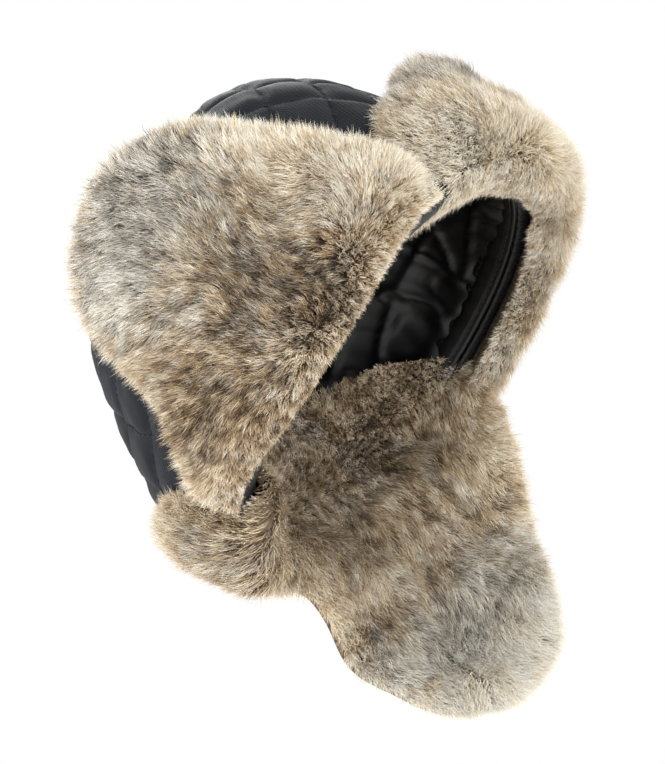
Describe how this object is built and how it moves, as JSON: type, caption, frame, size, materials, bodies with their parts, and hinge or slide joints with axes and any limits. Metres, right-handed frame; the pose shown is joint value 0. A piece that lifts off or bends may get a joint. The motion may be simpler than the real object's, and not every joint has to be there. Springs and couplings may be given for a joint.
{
  "type": "trapper hat",
  "caption": "Winter trapper hat with a dark quilted crown, satin lining, a turned-up fur visor and fur-lined ear and neck flaps, one side hanging and the other folded up.",
  "frame": {"origin": "middle of the crown's opening on the plane of the rim, where the head sits", "axes": "+Z towards the top of the crown as worn, -Y the wearer's front, +X the wearer's left"},
  "size_m": [0.2454, 0.2716, 0.2471],
  "materials": {
    "nylon": "charcoal woven nylon, low sheen",
    "satin": "black satin",
    "wadding": "white polyester wadding",
    "fur": "mottled cream, tan and grey-brown faux fur",
    "interlining": "stiff woven interlining",
    "tape": "black woven tape"
  },
  "bodies": {
    "crown": {"crown_shell_centre": "nylon", "crown_shell_right": "nylon", "crown_shell_left": "nylon", "crown_wadding_centre": "wadding", "crown_wadding_right": "wadding", "crown_wadding_left": "wadding", "lining_centre": "satin", "lining_right": "satin", "lining_left": "satin", "sweatband": "satin", "rim_tape": "tape"},
    "visor": {"visor_shell": "nylon", "visor_interlining": "interlining", "visor_fur": "fur"},
    "ear_flap_right": {"ear_flap_right_shell": "nylon", "ear_flap_right_wadding": "wadding", "ear_flap_right_fur": "fur"},
    "neck_flap_right": {"neck_flap_right_shell": "nylon", "neck_flap_right_wadding": "wadding", "neck_flap_right_fur": "fur"},
    "ear_flap_left": {"ear_flap_left_shell": "nylon", "ear_flap_left_wadding": "wadding", "ear_flap_left_fur": "fur"},
    "neck_flap_left": {"neck_flap_left_shell": "nylon", "neck_flap_left_wadding": "wadding", "neck_flap_left_fur": "fur"}
  },
  "joints": [
    {"name": "visor_fold", "type": "hinge", "parent": "crown", "child": "visor", "pos_m": [0, -0.112, -0.003], "axis": [-1, 0, 0], "range_deg": [-178, 0]},
    {"name": "right_flap_fold", "type": "hinge", "parent": "crown", "child": "ear_flap_right", "pos_m": [-0.101, 0.07053, -0.003], "axis": [0, 1, 0], "range_deg": [-5, 165]},
    {"name": "right_neck_fold", "type": "hinge", "parent": "crown", "child": "neck_flap_right", "pos_m": [-0.101, 0.07053, -0.003], "axis": [0.8829, 0.4695, 0], "range_deg": [-5, 165]},
    {"name": "left_flap_fold", "type": "hinge", "parent": "crown", "child": "ear_flap_left", "pos_m": [0.101, 0.07053, -0.003], "axis": [0, -1, 0], "range_deg": [-172, 3]},
    {"name": "left_neck_fold", "type": "hinge", "parent": "crown", "child": "neck_flap_left", "pos_m": [0.101, 0.07053, -0.003], "axis": [0.8829, -0.4695, 0], "range_deg": [-172, 3]}
  ],
  "couplings": [
    {"joint": "right_neck_fold", "follows": "right_flap_fold", "ratio": 1},
    {"joint": "left_neck_fold", "follows": "left_flap_fold", "ratio": 1}
  ]
}
